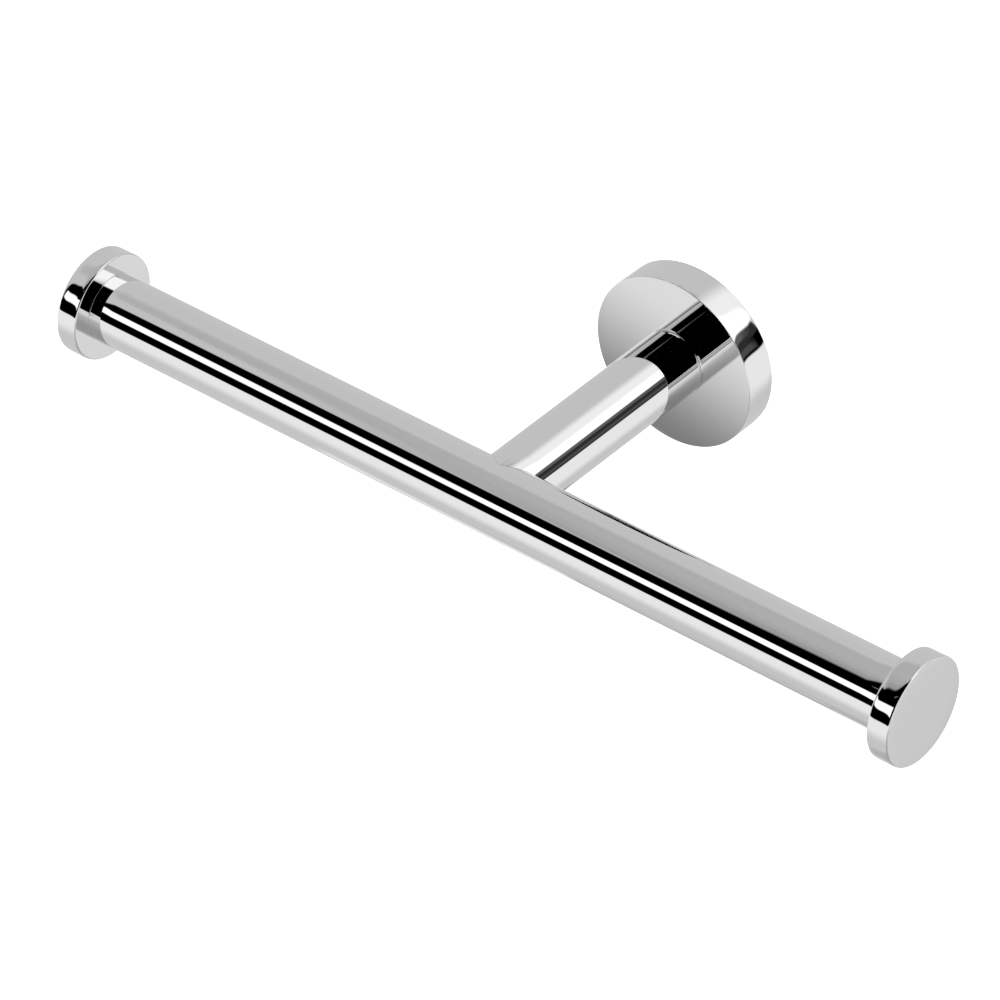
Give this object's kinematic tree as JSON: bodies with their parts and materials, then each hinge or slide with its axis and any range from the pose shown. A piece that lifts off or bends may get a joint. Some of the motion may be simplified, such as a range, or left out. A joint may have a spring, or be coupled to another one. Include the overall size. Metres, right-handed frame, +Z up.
{
  "type": "double toilet roll holder",
  "caption": "Wall-mounted toilet roll holder: a round arm from a disc rose carries the middle of a straight bar with a disc cap at each end, for a roll on each side.",
  "frame": {"origin": "centre of the wall plate's back face, which lies on the wall, on the arm's axis", "axes": "+X along the bar, to the right as seen from the room; +Y out of the holder's back, into the wall; +Z up"},
  "size_m": [0.2792, 0.1016, 0.052],
  "materials": {
    "chrome": "bright chrome plate on polished brass",
    "zinc_plated_steel": "clear zinc plate on pressed steel",
    "stainless_steel": "plain turned stainless steel",
    "brass": "plain turned brass"
  },
  "bodies": {
    "root": {"wall_rose": "chrome", "wall_plate": "zinc_plated_steel", "rose_grub_screw": "stainless_steel", "arm_tube": "chrome", "arm_rear_plug": "brass", "arm_front_plug": "brass", "locating_pin": "stainless_steel", "tie_bolt": "stainless_steel", "spring_washer": "stainless_steel", "flat_washer": "zinc_plated_steel", "bar_tube": "chrome", "bar_core": "brass", "left_end_plug": "brass", "left_cap_stud": "stainless_steel", "left_end_cap": "chrome", "right_end_plug": "brass", "right_cap_stud": "stainless_steel", "right_end_cap": "chrome"}
  },
  "joints": []
}
